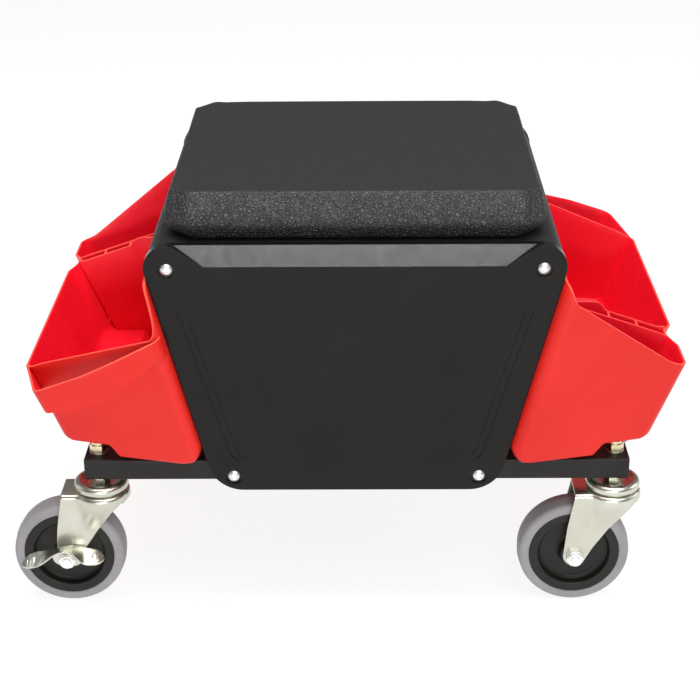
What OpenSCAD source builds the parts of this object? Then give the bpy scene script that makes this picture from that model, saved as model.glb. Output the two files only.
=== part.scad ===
// Wheeled mechanic's seat with two side tool bins on four swivel castors.
// Millimetres. X to the right, Y to the rear, Z up, origin on the floor under the middle.

/* [Seat] */
// Width and depth of the seat pad at its widest fold
pad_w = 400; // [380:2:410]
// Corner chamfer of the pad in plan
pad_chamfer = 26; // [20:1:34]
// Height of the pad's flat top
pad_top_z = 481.5; // [475:0.5:490]
// Height of the widest fold of the pad
pad_fold_z = 455; // [450:0.5:460]
// Run of the pad's upper slope at the front and rear
pad_top_inset = 35; // [25:0.5:40]
// Run of the pad's upper slope at the sides
pad_side_inset = 6; // [4:0.5:12]
// How far the pad's underside lies inside the fold
pad_foot_inset = 11; // [8:0.5:15]
// Thickness of the plywood seat board
board_t = 12; // [9:1:12]

/* [Box] */
// Height of the covers' top edge
box_top_z = 439; // [437:0.5:441]
// Height of the covers' bottom edge
box_bottom_z = 156; // [152:0.5:158]
// Half distance between the upper corner centres
top_corner_x = 192; // [190:0.5:196]
// Radius of the covers' upper corners
top_corner_r = 24.5; // [24:0.25:26]
// Half distance between the lower corner centres
low_corner_x = 122.2; // [120:0.2:126]
// Radius of the covers' lower corners
low_corner_r = 38; // [34:0.5:40]
// Outer face of each cover, from the middle
cover_y = 212; // [211:0.5:214]
// Depth of each cover, front to back
cover_depth = 12.2; // [12:0.1:12.5]
// Wall of the moulded shell
shell_t = 2.5; // [2:0.1:3]

/* [Frame] */
// Half length of the cross tubes
tube_half_l = 295; // [293:1:300]
// Distance of the cross tubes' middle line from the centre
tube_y = 177; // [177:0.5:177]
// Depth of the cross tubes
tube_d = 40; // [40:1:40]
// Height of all frame tubes
tube_h = 25; // [25:1:25]
// Height of the base frame's underside
tube_z = 160; // [160:0.5:160]
// Wall of the frame tubes
tube_t = 1.5; // [1.2:0.1:2]

/* [Castors] */
// Distance of the castor stems from the centre line
stem_x = 283; // [280:0.5:283]
// Wheel diameter
wheel_d = 125; // [125:1:125]
// Wheel width
wheel_w = 32; // [30:1:32]
// Trail of the wheel behind its stem
trail = 40; // [38:0.5:42]
// Radius of the black core under the tyre
core_r = 50.3; // [48:0.1:52]
// Radius of the swivel head's upper cap
cap_r = 30; // [28:0.5:30.5]
// Radial running clearance of the turning parts
run_gap = 0.08; // [0.05:0.01:0.1]

/* [Bins] */
// Outer wall of a bin at its rim
bin_rim_x = 352; // [345:0.5:354]
// Height of the outer rim
bin_rim_z = 293; // [285:1:300]
// Outward lean of the outer wall, run over rise
bin_lean = 0.4; // [0.34:0.005:0.42]
// Height of a bin's back edge, against the box
bin_back_z = 400; // [390:1:400]
// Half length of a bin at the outer rim
bin_half_l = 195; // [190:1:198]
// Wall of a bin
bin_t = 2.5; // [2:0.1:3]
// Where the holster ring's front face lies
holster_y = 262; // [255:1:264]
// Height of the holster ring's band
holster_h = 32; // [28:1:36]

/* [Hidden] */

$fn = 64;
eps = 0.01;

// Box outline: four corner circles and the tangent lines between them
corner_dx = top_corner_x - low_corner_x;
top_corner_z = box_top_z - top_corner_r;
low_corner_z = box_bottom_z + low_corner_r;
corner_dz = top_corner_z - low_corner_z;
corner_dist = sqrt(corner_dx * corner_dx + corner_dz * corner_dz);
side_tilt = atan2(corner_dx, corner_dz) - asin((low_corner_r - top_corner_r) / corner_dist);
side_slope = tan(side_tilt);
side_z = top_corner_z - top_corner_r * sin(side_tilt);
side_x = top_corner_x + top_corner_r * cos(side_tilt);
function box_side_x(z) = side_x - side_slope * (side_z - z);

// Frame
tube_top_z = tube_z + tube_h;
rail_w = 25;
base_rail_x = 130;
upper_tube_z = 400.9;
upper_tube_top_z = upper_tube_z + tube_h;
upper_tube_half_l = 206;
upper_tube_y = tube_y + tube_d / 2 - rail_w / 2;
upper_rail_x = 188;
upright_foot_x = 140;
tube_front_y = tube_y + tube_d / 2;

// Shell and covers
shell_inset = 1;
shell_half_l = cover_y - cover_depth - 0.2;
shell_bottom_z = tube_top_z + 1.5;
deck_z = box_top_z - shell_inset;
cover_skin = 4.5;
cover_rim = 3;
field_depth = 1.2;
bolt_r = 4;
cover_bolts = [[193, upper_tube_z + tube_h / 2], [132.4, tube_z + tube_h / 2]];
bolt_seat_depth = 2;
nut_flange_t = 1;
boss_end_y = tube_front_y + nut_flange_t;

// Seat
seat_bolt_xy = 130;
board_w = 358;
board_chamfer = 34;
tee_flange_t = 1.5;

// Castors
axle_z = wheel_d / 2;
stud_r = 5;
kingpin_r = 6.5;
crown_z = 137.5;
crown_t = 3;
crown_top_z = crown_z + crown_t;
ball_r = 2.5;
ball_track_r = 20;
ball_count = 12;
cap_z = crown_top_z + 0.9;
cap_top_z = 151;
ball_roof_z = crown_top_z + 2 * ball_r + 0.1;
dish_z = ball_roof_z + 2;
crown_r = 31.5;
leg_in_y = wheel_w / 2 + 3;
leg_t = 2.5;
leg_out_y = leg_in_y + leg_t;
axle_r = 5;
sleeve_r = 8;
nut_af = 17;
nut_corner_r = nut_af / 2 / cos(30);

// Bins: planes of the end walls and the rising floor
bin_gap = 0.6;
bin_end_slope = 0.25;
bin_draft = 0.1;
bin_corner_x = 331;
bin_foot_z = tube_top_z + 2;
bin_step_x = 259;
bin_step_z = 194;
bin_shelf_x = 266;
bin_shelf_z = 204;
bin_rise = 0.02;
bin_screw_z = [250, 350];

function bin_in_x(z) = box_side_x(z) + bin_gap;
function bin_out_x(z) = bin_rim_x + bin_lean * (z - bin_rim_z);
function bin_end_y(x, z) = bin_half_l + bin_end_slope * (bin_corner_x - x) + bin_draft * (z - 300);

// Points of an arc, first and last included
function arc(cx, cy, r, a0, a1, n) = [for (i = [0:n]) let (a = a0 + (a1 - a0) * i / n) [cx + r * cos(a), cy + r * sin(a)]];

// ---------- shared shapes ----------

// Rounded rectangle from exact lines and arcs
module rounded_rect(w, h, r) {
    square([w - 2 * r, h], center = true);
    square([w, h - 2 * r], center = true);
    for (sx = [-1, 1], sy = [-1, 1]) translate([sx * (w / 2 - r), sy * (h / 2 - r)]) circle(r);
}

// Hollow box section, standing along Z
module box_tube(w, h, l, r = 3) {
    difference() {
        linear_extrude(l) rounded_rect(w, h, r);
        translate([0, 0, -1]) linear_extrude(l + 2) rounded_rect(w - 2 * tube_t, h - 2 * tube_t, r - tube_t);
    }
}

// Outline of the box in X and Z, set in by d
module box_outline(d = 0) {
    tr = top_corner_r - d;
    lr = low_corner_r - d;
    n = [cos(side_tilt), -sin(side_tilt)];
    right = [
        [top_corner_x, box_top_z - d],
        [top_corner_x + tr * n[0], top_corner_z + tr * n[1]],
        [low_corner_x + lr * n[0], low_corner_z + lr * n[1]],
        [low_corner_x, box_bottom_z + d]
    ];
    left = [for (i = [3:-1:0]) [-right[i][0], right[i][1]]];
    polygon(concat(right, left));
    for (s = [-1, 1]) {
        translate([s * top_corner_x, top_corner_z]) circle(tr);
        translate([s * low_corner_x, low_corner_z]) circle(lr);
    }
}

// Turns a shape drawn in X and Z, thickened upwards, so that it runs towards the rear from y
module to_rear(y) {
    translate([0, y, 0]) mirror([0, 1, 0]) rotate([90, 0, 0]) children();
}

module turned(a) {
    rotate([0, 0, a]) children();
}

// Nyloc nut along +Z from 0: hexagon, then the round collar
module nyloc_nut(af, h, bore) {
    difference() {
        union() {
            cylinder(r = af / 2 / cos(30), h = h * 0.72, $fn = 6);
            cylinder(r = af * 0.46, h = h);
        }
        translate([0, 0, -1]) cylinder(r = bore, h = h + 2);
    }
}

// Button-head bolt along -Z, its head above z = 0, with a hexagon socket
module button_bolt(head_r, head_h, shank_r, shank_l, socket_af) {
    dome_r = (head_r * head_r + head_h * head_h) / (2 * head_h);
    difference() {
        union() {
            intersection() {
                translate([0, 0, head_h - dome_r]) sphere(dome_r);
                cylinder(r = head_r, h = head_h + 1);
            }
            translate([0, 0, -shank_l]) cylinder(r = shank_r, h = shank_l + 0.1);
        }
        translate([0, 0, head_h * 0.4]) cylinder(r = socket_af / 2 / cos(30), h = head_h, $fn = 6);
    }
}

// ---------- frame ----------

// Base cross tube at the front; the rear one is the same part turned round
module cross_tube() {
    color([0.17, 0.16, 0.16]) difference() {
        translate([-tube_half_l, -tube_y, tube_z + tube_h / 2]) rotate([0, 90, 0])
            box_tube(tube_h, tube_d, 2 * tube_half_l);
        for (s = [-1, 1]) {
            translate([s * stem_x, -tube_y, tube_z - 1]) cylinder(r = stud_r + 0.4, h = tube_h + 2);
            translate([s * cover_bolts[1][0], -tube_front_y - 1, cover_bolts[1][1]]) rotate([-90, 0, 0])
                cylinder(r = bolt_r + 1.6, h = 6);
        }
    }
}
module front_cross_tube() { cross_tube(); }
module rear_cross_tube() { turned(180) cross_tube(); }

module base_rail(s) {
    rail_half_l = tube_y - tube_d / 2;
    color([0.17, 0.16, 0.16]) translate([s * base_rail_x, rail_half_l, tube_z + tube_h / 2])
        rotate([90, 0, 0]) box_tube(rail_w, tube_h, 2 * rail_half_l);
}
module left_base_rail() { base_rail(-1); }
module right_base_rail() { base_rail(1); }

// Push-in caps that close the ends of both cross tubes
module tube_end_caps() {
    plug_gap = tube_t + 0.15;
    color([0.08, 0.08, 0.08]) for (sx = [-1, 1], sy = [-1, 1])
        translate([sx * tube_half_l, sy * tube_y, tube_z + tube_h / 2]) rotate([0, sx * 90, 0]) {
            linear_extrude(2) rounded_rect(tube_h, tube_d, 3);
            translate([0, 0, -6]) linear_extrude(6.1)
                rounded_rect(tube_h - 2 * plug_gap, tube_d - 2 * plug_gap, 1.2);
        }
}

// Leaning corner post between the cross tube and the upper tube
module upright(sx, sy) {
    post_l = (upper_tube_z - tube_top_z) / cos(side_tilt);
    screw_reach = 14;
    color([0.17, 0.16, 0.16]) difference() {
        intersection() {
            translate([sx * upright_foot_x, sy * upper_tube_y, tube_top_z]) rotate([0, sx * side_tilt, 0])
                translate([0, 0, -20]) box_tube(rail_w, rail_w, post_l + 40);
            translate([-300, -300, tube_top_z]) cube([600, 600, upper_tube_z - tube_top_z]);
        }
        for (z = bin_screw_z) bin_screw_place(sx, sy, z) translate([0, 0, -screw_reach]) cylinder(r = 3.2, h = 20);
    }
}
module front_left_upright() { upright(-1, -1); }
module front_right_upright() { upright(1, -1); }
module rear_left_upright() { upright(-1, 1); }
module rear_right_upright() { upright(1, 1); }

// Upper cross tube at the front, with the holes for the cover's rivet nuts
module upper_tube() {
    color([0.17, 0.16, 0.16]) difference() {
        translate([-upper_tube_half_l, -upper_tube_y, upper_tube_z + tube_h / 2]) rotate([0, 90, 0])
            box_tube(tube_h, rail_w, 2 * upper_tube_half_l);
        for (s = [-1, 1]) translate([s * cover_bolts[0][0], -tube_front_y - 1, cover_bolts[0][1]])
            rotate([-90, 0, 0]) cylinder(r = bolt_r + 1.6, h = 6);
    }
}
module front_upper_tube() { upper_tube(); }
module rear_upper_tube() { turned(180) upper_tube(); }

module upper_rail(s) {
    rail_half_l = upper_tube_y - rail_w / 2;
    color([0.17, 0.16, 0.16]) translate([s * upper_rail_x, rail_half_l, upper_tube_z + tube_h / 2])
        rotate([90, 0, 0]) box_tube(rail_w, tube_h, 2 * rail_half_l);
}
module left_upper_rail() { upper_rail(-1); }
module right_upper_rail() { upper_rail(1); }

// ---------- box ----------

// Moulded deck and sides, open below, with four ribs that stand on the upper tubes
module body_shell() {
    rib_t = 3;
    rib_x = [-150, -50, 50, 150];
    color([0.13, 0.13, 0.13]) difference() {
        union() {
            difference() {
                to_rear(-shell_half_l) linear_extrude(2 * shell_half_l) box_outline(shell_inset);
                to_rear(-shell_half_l - 1) linear_extrude(2 * shell_half_l + 2) box_outline(shell_inset + shell_t);
                translate([-300, -300, 0]) cube([600, 600, shell_bottom_z]);
            }
            for (x = rib_x) translate([x - rib_t / 2, -shell_half_l + 2, upper_tube_top_z])
                cube([rib_t, 2 * shell_half_l - 4, deck_z - shell_t - upper_tube_top_z + 0.5]);
        }
        for (sx = [-1, 1], sy = [-1, 1]) {
            translate([sx * seat_bolt_xy, sy * seat_bolt_xy, deck_z - 5]) cylinder(r = 3.3, h = 10);
            for (z = bin_screw_z) bin_screw_place(sx, sy, z) translate([0, 0, -6]) cylinder(r = 3.3, h = 12);
        }
    }
}

// Sloping facet cut along the top of a cover, between the two bolt lobes
module cover_facet() {
    low_z = 416.4;
    low_x = 154.2;
    high_x = 190;
    depth = 5;
    polyhedron(
        points = [
            [-low_x, 0, low_z], [low_x, 0, low_z],
            [-high_x, 0, box_top_z + 1], [high_x, 0, box_top_z + 1],
            [-high_x + 4, depth, box_top_z + 1], [high_x - 4, depth, box_top_z + 1],
            [-low_x, -1, low_z], [low_x, -1, low_z],
            [-high_x, -1, box_top_z + 1], [high_x, -1, box_top_z + 1]
        ],
        faces = [[0, 1, 5, 4], [0, 4, 2], [1, 3, 5], [6, 8, 9, 7], [6, 7, 1, 0], [2, 4, 5, 3, 9, 8], [6, 0, 2, 8], [7, 9, 3, 1]]
    );
}

// Half outline of the sunk field, clockwise from the top, with a rounded lower corner
function field_half(d, low_z) = concat(
    [[154.2 - d * 0.3, 416.4 - d], [179.3 - d * 0.8, 389.9 - d * 0.6], [184 - d, 366.4]],
    [[box_side_x(222) - 27 - d, 222]],
    arc(box_side_x(222) - 47.5 - d, low_z + 16, 16, -20, -90, 6)
);
module field_outline(d, low_z) {
    half = field_half(d, low_z);
    polygon(concat(half, [for (i = [len(half) - 1:-1:0]) [-half[i][0], half[i][1]]]));
}

// End cover: dished skin with a rim, four bolt bosses, a facet along the top and a sunk field
module end_cover() {
    inner_field = 8;
    color([0.17, 0.16, 0.15]) difference() {
        union() {
            difference() {
                to_rear(-cover_y) linear_extrude(cover_depth) box_outline();
                to_rear(-cover_y + cover_skin) linear_extrude(cover_depth) intersection() {
                    box_outline(cover_rim);
                    translate([-300, 0]) square([600, 412]);
                }
            }
            for (s = [-1, 1], b = cover_bolts) translate([s * b[0], -cover_y + cover_skin - 1, b[1]])
                rotate([-90, 0, 0]) cylinder(r = 12, h = cover_y - boss_end_y - cover_skin + 1);
        }
        translate([0, -cover_y, 0]) cover_facet();
        to_rear(-cover_y - 1) linear_extrude(1 + field_depth) field_outline(0, 191.4);
        to_rear(-cover_y - 1) linear_extrude(2 + field_depth) field_outline(inner_field, 192.6);
        for (s = [-1, 1], b = cover_bolts) translate([s * b[0], -cover_y, b[1]]) rotate([-90, 0, 0]) {
            translate([0, 0, -1]) cylinder(r = 9.2, h = 1 + bolt_seat_depth);
            cylinder(r = bolt_r + 0.3, h = 30);
        }
    }
}
module front_cover() { end_cover(); }
module rear_cover() { turned(180) end_cover(); }

module cover_bolts_front() {
    color([0.8, 0.8, 0.78]) for (s = [-1, 1], b = cover_bolts)
        translate([s * b[0], -cover_y + bolt_seat_depth, b[1]]) rotate([90, 0, 0])
            button_bolt(7, 4.2, bolt_r, 24, 5);
}
module front_cover_bolts() { cover_bolts_front(); }
module rear_cover_bolts() { turned(180) cover_bolts_front(); }

// Flanged rivet nuts set in the tubes, one behind each cover bolt
module rivet_nuts() {
    color([0.75, 0.7, 0.5]) for (a = [0, 180], s = [-1, 1], b = cover_bolts)
        turned(a) translate([s * b[0], -boss_end_y, b[1]]) rotate([-90, 0, 0]) difference() {
            union() {
                cylinder(r = 8, h = nut_flange_t);
                cylinder(r = bolt_r + 1.5, h = 14);
            }
            translate([0, 0, -1]) cylinder(r = bolt_r + 0.1, h = 20);
        }
}

// ---------- seat ----------

// Rectangle with chamfered corners, in plan
module pad_plan(half_x, half_y, chamfer) {
    kx = half_x - chamfer;
    ky = half_y - chamfer;
    polygon([
        [kx, -half_y], [half_x, -ky], [half_x, ky], [kx, half_y],
        [-kx, half_y], [-half_x, ky], [-half_x, -ky], [-kx, -half_y]
    ]);
}

module pad_layer(z0, half0, ch0, z1, half1, ch1, half1_y) {
    hull() {
        translate([0, 0, z0]) linear_extrude(eps) pad_plan(half0, half0, ch0);
        translate([0, 0, z1 - eps]) linear_extrude(eps) pad_plan(half1, half1_y, ch1);
    }
}

module seat_pad() {
    half = pad_w / 2;
    side_band = 4;
    recess_half = board_w / 2 + 0.2;
    color([0.24, 0.23, 0.22]) difference() {
        union() {
            pad_layer(deck_z, half - pad_foot_inset, pad_chamfer - 4, pad_fold_z, half, pad_chamfer, half);
            pad_layer(pad_fold_z, half, pad_chamfer,
                      pad_fold_z + side_band, half - 1.5, pad_chamfer, half - 1.5);
            pad_layer(pad_fold_z + side_band, half - 1.5, pad_chamfer,
                      pad_top_z, half - pad_side_inset, pad_chamfer - 1, half - pad_top_inset);
        }
        translate([0, 0, deck_z - 1]) linear_extrude(board_t + 1.2)
            pad_plan(recess_half, recess_half, board_chamfer);
    }
}

// Plywood board inside the pad's underside
module seat_board() {
    color([0.72, 0.58, 0.4]) difference() {
        translate([0, 0, deck_z]) linear_extrude(board_t) pad_plan(board_w / 2, board_w / 2, board_chamfer);
        for (sx = [-1, 1], sy = [-1, 1]) translate([sx * seat_bolt_xy, sy * seat_bolt_xy, deck_z - 1]) {
            cylinder(r = 4.1, h = board_t + 2);
            translate([0, 0, board_t + 1 - tee_flange_t - 0.1]) cylinder(r = 9.2, h = 5);
        }
    }
}

module seat_bolts() {
    color([0.78, 0.78, 0.76]) for (sx = [-1, 1], sy = [-1, 1])
        translate([sx * seat_bolt_xy, sy * seat_bolt_xy, deck_z - shell_t]) rotate([180, 0, 0])
            button_bolt(6, 3.3, 3, 13, 4);
}

module seat_tee_nuts() {
    color([0.75, 0.7, 0.5]) for (sx = [-1, 1], sy = [-1, 1])
        translate([sx * seat_bolt_xy, sy * seat_bolt_xy, deck_z + board_t]) difference() {
            union() {
                translate([0, 0, -tee_flange_t]) cylinder(r = 9, h = tee_flange_t);
                translate([0, 0, -9]) cylinder(r = 4, h = 9);
            }
            translate([0, 0, -10]) cylinder(r = 3.1, h = 20);
        }
}

// ---------- bins ----------

// Solid between two level outlines of the same number of points
module loft(low, low_z, high, high_z) {
    n = len(low);
    polyhedron(
        points = concat([for (p = low) [p[0], p[1], low_z]], [for (p = high) [p[0], p[1], high_z]]),
        faces = concat(
            [[for (i = [0:n - 1]) i]],
            [[for (i = [n - 1:-1:0]) n + i]],
            [for (i = [0:n - 1]) [i, n + i, n + (i + 1) % n, (i + 1) % n]]
        )
    );
}

// Corner of an outline: the turn at b on the way from a to c, rounded to r
function fillet(a, b, c, r, n) =
    let (u = (a - b) / norm(a - b), v = (c - b) / norm(c - b),
         half = acos(u * v) / 2, m = (u + v) / norm(u + v),
         o = b + m * r / sin(half), t0 = b + u * r / tan(half), t1 = b + v * r / tan(half),
         a0 = atan2(t0[1] - o[1], t0[0] - o[0]), a1 = atan2(t1[1] - o[1], t1[0] - o[0]),
         turn = ((a1 - a0 + 540) % 360) - 180)
    arc(o[0], o[1], r, a0, a0 + turn, n);
function rounded(pts, radii, n) = [
    for (i = [0:len(pts) - 1])
        for (q = fillet(pts[(i + len(pts) - 1) % len(pts)], pts[i], pts[(i + 1) % len(pts)], radii[i], n)) q
];

// Level outline of a bin at height z, set in by d, with the notch between its two compartments
notch_y = 110.5;
notch_depth = 11;
notch_half_w = 26;
function bin_outline(z, d) =
    let (xi = bin_in_x(z) + d, xo = bin_out_x(z) - d)
    rounded([
        [xi, bin_end_y(xi, z) - d], [xi, -bin_end_y(xi, z) + d], [xo, -bin_end_y(xo, z) + d],
        [xo, -notch_y - notch_half_w + d], [xo - notch_depth, -notch_y - 6 + d / 2],
        [xo - notch_depth, -notch_y + 6 - d / 2], [xo, -notch_y + notch_half_w - d],
        [xo, bin_end_y(xo, z) - d]
    ], [20 - d, 20 - d, 14 - d, 20, 4, 4, 20, 12 - d], 5);

bin_low_z = 175;
bin_high_z = 410;
module bin_prism(d) {
    loft(bin_outline(bin_low_z, d), bin_low_z, bin_outline(bin_high_z, d), bin_high_z);
}

// Side view of a bin's underside and everything above it, raised by d
module bin_profile(d) {
    foot_x = bin_in_x(bin_foot_z);
    corner_r = 15 - d;
    low = bin_foot_z + d;
    polygon(concat(
        [[foot_x - 60, 600], [foot_x - 60, low + 60]],
        [[foot_x - 8, low + corner_r + 8]],
        arc(foot_x + 15, low + corner_r, corner_r, 194, 270, 6),
        [[202, low + 2], [bin_step_x - d / 2, bin_step_z + d], [bin_shelf_x - d / 2, bin_shelf_z + d]],
        [[400, bin_shelf_z + d + bin_rise * (400 - bin_shelf_x)], [400, 600]]
    ));
}

// Side view of all that is above the sloping rim; only the small end wall has the steep one
module rim_profile(steep) {
    slope = steep ? 0.755 : 0.34;
    start = [335, bin_rim_z + (steep ? 5 : 6.5)];
    bend_x = steep ? 220 : 214;
    bend_z = start[1] + slope * (start[0] - bend_x);
    climb = steep ? [] : [[210, bend_z + 4], [211, bend_z + 14]];
    polygon(concat(
        [[500, bin_rim_z], [349, bin_rim_z], start, [bend_x, bend_z]],
        climb,
        [[steep ? 217.5 : 223, bin_back_z], [100, bin_back_z], [100, 700], [500, 700]]
    ));
}

// Side view of a bin between its underside and its rim
module bin_side(d, steep) {
    difference() {
        bin_profile(d);
        rim_profile(steep);
    }
}

module across(y0, y1) {
    to_rear(y0) linear_extrude(y1 - y0) children();
}

plate_y = [-119, -102];
rib_x = [278, 309];
steep_end_y = -130;

// Level outline of the holster ring, set in by d
function holster_outline(d) = rounded([
    [219 + d, 186], [219 + d, 222 - d], [250, holster_y - 13 - d], [280, holster_y - d],
    [326 - d, holster_y + 1 - d], [bin_rim_x - 1.5 - d, 178]
], [2, 12, 30, 30, 8, 6], 5);
module holster_prism(d) {
    translate([0, 0, 150]) linear_extrude(400) polygon(holster_outline(d));
}
module holster_band() {
    intersection() {
        holster_prism(0);
        across(150, 300) difference() {
            polygon([
                [190, 362 - holster_h], [232, 338 - holster_h], [261, 322 - holster_h], [305, 309 - holster_h],
                [360, 300 - holster_h], [360, 420], [190, 420]
            ]);
            rim_profile(false);
        }
    }
}

// Finger tab that stands up from the wall between the slots and the main compartment
module finger_tab() {
    across(plate_y[1] - bin_t / 2, plate_y[1] + bin_t / 2) polygon(concat(
        [[212, 300], [276, 300]], arc(266, 320, 10, 0, 90, 4), [[212, 331]]
    ));
}

// Bin on the right-hand side
module bin() {
    color([0.9, 0.16, 0.13]) difference() {
        union() {
            intersection() {
                bin_prism(0);
                union() {
                    across(-300, steep_end_y) bin_side(0, true);
                    across(steep_end_y, 300) bin_side(0, false);
                }
            }
            difference() {
                holster_band();
                bin_prism(bin_t);
            }
            finger_tab();
            for (sy = [-1, 1], z = bin_screw_z) bin_screw_place(1, sy, z) translate([0, 0, -bin_gap - 0.9])
                cylinder(r = 8, h = bin_gap + 1);
        }
        // compartments
        intersection() {
            bin_prism(bin_t);
            across(-300, 300) bin_profile(bin_t);
            union() {
                across(-300, plate_y[0] - bin_t / 2) square([600, 600]);
                across(plate_y[1] + bin_t / 2, 300) square([600, 600]);
                across(plate_y[0] + bin_t / 2, plate_y[1] - bin_t / 2) for (i = [0:2]) {
                    x0 = i == 0 ? 0 : rib_x[i - 1] + bin_t / 2;
                    x1 = i == 2 ? 600 : rib_x[i] - bin_t / 2;
                    translate([x0, 0]) square([x1 - x0, 600]);
                }
            }
        }
        // holster opening, cut outside the end wall
        difference() {
            holster_prism(bin_t);
            bin_prism(0);
        }
        for (sy = [-1, 1], z = bin_screw_z) bin_screw_place(1, sy, z) translate([0, 0, -6]) cylinder(r = 3.3, h = 20);
    }
}
module right_bin() { bin(); }
module left_bin() { turned(180) bin(); }

// Puts a screw's own Z along the outward normal of the box side, from its face
module bin_screw_place(sx, sy, z) {
    translate([sx * bin_in_x(z), sy * upper_tube_y, z]) rotate([0, sx * (90 + side_tilt), 0]) children();
}
module bin_screws(sx) {
    color([0.8, 0.8, 0.78]) for (sy = [-1, 1], z = bin_screw_z)
        bin_screw_place(sx, sy, z) translate([0, 0, bin_t]) button_bolt(6, 3.3, 3, 18, 4);
}
module left_bin_screws() { bin_screws(-1); }
module right_bin_screws() { bin_screws(1); }

// ---------- castors ----------

// Every corner is the same castor: the front pair trails to the left, the rear pair to the right
module at_castor(front, side) {
    turned(front ? 0 : 180) translate([(front ? side : -side) * stem_x, -tube_y, 0]) children();
}
module at_every_castor() {
    for (front = [true, false], side = [-1, 1]) at_castor(front, side) children();
}
module at_axle() {
    translate([-trail, 0, axle_z]) rotate([90, 0, 0]) children();
}

// Stud, hexagon collar and kingpin in one turned piece
module castor_stems() {
    color([0.82, 0.82, 0.78]) at_every_castor() {
        translate([0, 0, crown_z - 6]) cylinder(r = 10, h = 5.2);
        translate([0, 0, crown_z - 1]) cylinder(r = kingpin_r, h = tube_z - crown_z - 5);
        translate([0, 0, dish_z + 0.1]) cylinder(r = nut_corner_r, h = tube_z - dish_z - 0.1, $fn = 6);
        translate([0, 0, tube_z - 1]) cylinder(r = stud_r, h = tube_h + 17);
    }
}

module stem_washers() {
    color([0.8, 0.8, 0.76]) at_every_castor() translate([0, 0, tube_top_z]) difference() {
        cylinder(r = 10, h = 2);
        translate([0, 0, -1]) cylinder(r = stud_r + 0.25, h = 4);
    }
}

module stem_nuts() {
    color([0.82, 0.79, 0.62]) at_every_castor() translate([0, 0, tube_top_z + 2])
        nyloc_nut(nut_af, 12, stud_r + 0.05);
}

// Pressed upper cap of the swivel head, dished on top, with the ball race underneath
module race_caps() {
    roll_r = 4;
    color([0.78, 0.78, 0.74]) at_every_castor() difference() {
        rotate_extrude() polygon(concat(
            [[kingpin_r + 0.2, ball_roof_z], [24, ball_roof_z], [24, cap_z], [cap_r - 2, cap_z], [cap_r, cap_z + 3]],
            arc(cap_r - roll_r - 1.5, cap_top_z - roll_r, roll_r + 1.5, -10, 100, 7),
            [[cap_r - 10, dish_z + 2.5], [13, dish_z], [kingpin_r + 0.2, dish_z]]
        ));
        translate([0, 0, ball_roof_z - 1]) cylinder(r = kingpin_r + 0.1, h = 10);
    }
}

module swivel_balls() {
    color([0.85, 0.85, 0.85]) at_every_castor() for (i = [0:ball_count - 1])
        rotate([0, 0, i * 360 / ball_count]) translate([ball_track_r, 0, crown_top_z + ball_r + 0.05])
            sphere(ball_r, $fn = 24);
}

// Side view of a fork leg, in X and Z from the stem
module leg_profile() {
    foot_r = 12.7;
    polygon([
        [-43, crown_top_z], [-trail - foot_r, axle_z + 1.5], [-trail, axle_z],
        [-trail + foot_r * cos(40), axle_z - foot_r * sin(40)], [-4.6, 97.3], [13, 125], [21, 133],
        [23, crown_top_z]
    ]);
    translate([-trail, axle_z]) circle(foot_r);
}

module fork() {
    color([0.8, 0.8, 0.74]) difference() {
        union() {
            translate([0, 0, crown_z]) cylinder(r = crown_r, h = crown_t);
            translate([-43, -leg_out_y, crown_z]) cube([53, 2 * leg_out_y, crown_t]);
            for (y = [-leg_out_y, leg_in_y]) to_rear(y) linear_extrude(leg_t) leg_profile();
        }
        translate([0, 0, crown_z - 1]) cylinder(r = kingpin_r + run_gap, h = crown_t + 2);
        at_axle() translate([0, 0, -40]) cylinder(r = axle_r + 0.1, h = 80);
    }
}
module front_left_fork() { at_castor(true, -1) fork(); }
module front_right_fork() { at_castor(true, 1) fork(); }
module rear_left_fork() { at_castor(false, -1) fork(); }
module rear_right_fork() { at_castor(false, 1) fork(); }

// Axle bolt with its head on the inner side; the braked castors have a longer one
lever_plate_t = 1.8;
lever_gap = 0.3;
function nut_from(braked) = leg_out_y + (braked ? lever_plate_t + 2 * lever_gap : 0);
axle_nut_h = 9.5;
module axle_bolt(braked) {
    shank_end = nut_from(braked) + axle_nut_h + 1.5;
    color([0.82, 0.82, 0.8]) at_axle() {
        translate([0, 0, -leg_out_y - 6.4]) cylinder(r = nut_corner_r, h = 6.4, $fn = 6);
        translate([0, 0, -leg_out_y - 1]) cylinder(r = axle_r, h = leg_out_y + 1 + shank_end);
    }
}
module axle_nut(braked) {
    color([0.85, 0.85, 0.83]) at_axle() translate([0, 0, nut_from(braked)])
        nyloc_nut(nut_af, axle_nut_h, axle_r + 0.05);
}
module front_left_axle_bolt() { at_castor(true, -1) axle_bolt(true); }
module front_right_axle_bolt() { at_castor(true, 1) axle_bolt(false); }
module rear_left_axle_bolt() { at_castor(false, -1) axle_bolt(false); }
module rear_right_axle_bolt() { at_castor(false, 1) axle_bolt(true); }
module front_left_axle_nut() { at_castor(true, -1) axle_nut(true); }
module front_right_axle_nut() { at_castor(true, 1) axle_nut(false); }
module rear_left_axle_nut() { at_castor(false, -1) axle_nut(false); }
module rear_right_axle_nut() { at_castor(false, 1) axle_nut(true); }

// Steel sleeve clamped between the legs; the wheel turns on it
module axle_sleeve() {
    color([0.7, 0.7, 0.68]) at_axle() difference() {
        cylinder(r = sleeve_r, h = 2 * leg_in_y, center = true);
        cylinder(r = axle_r + 0.1, h = 2 * leg_in_y + 2, center = true);
    }
}
module front_left_axle_sleeve() { at_castor(true, -1) axle_sleeve(); }
module front_right_axle_sleeve() { at_castor(true, 1) axle_sleeve(); }
module rear_left_axle_sleeve() { at_castor(false, -1) axle_sleeve(); }
module rear_right_axle_sleeve() { at_castor(false, 1) axle_sleeve(); }

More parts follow.
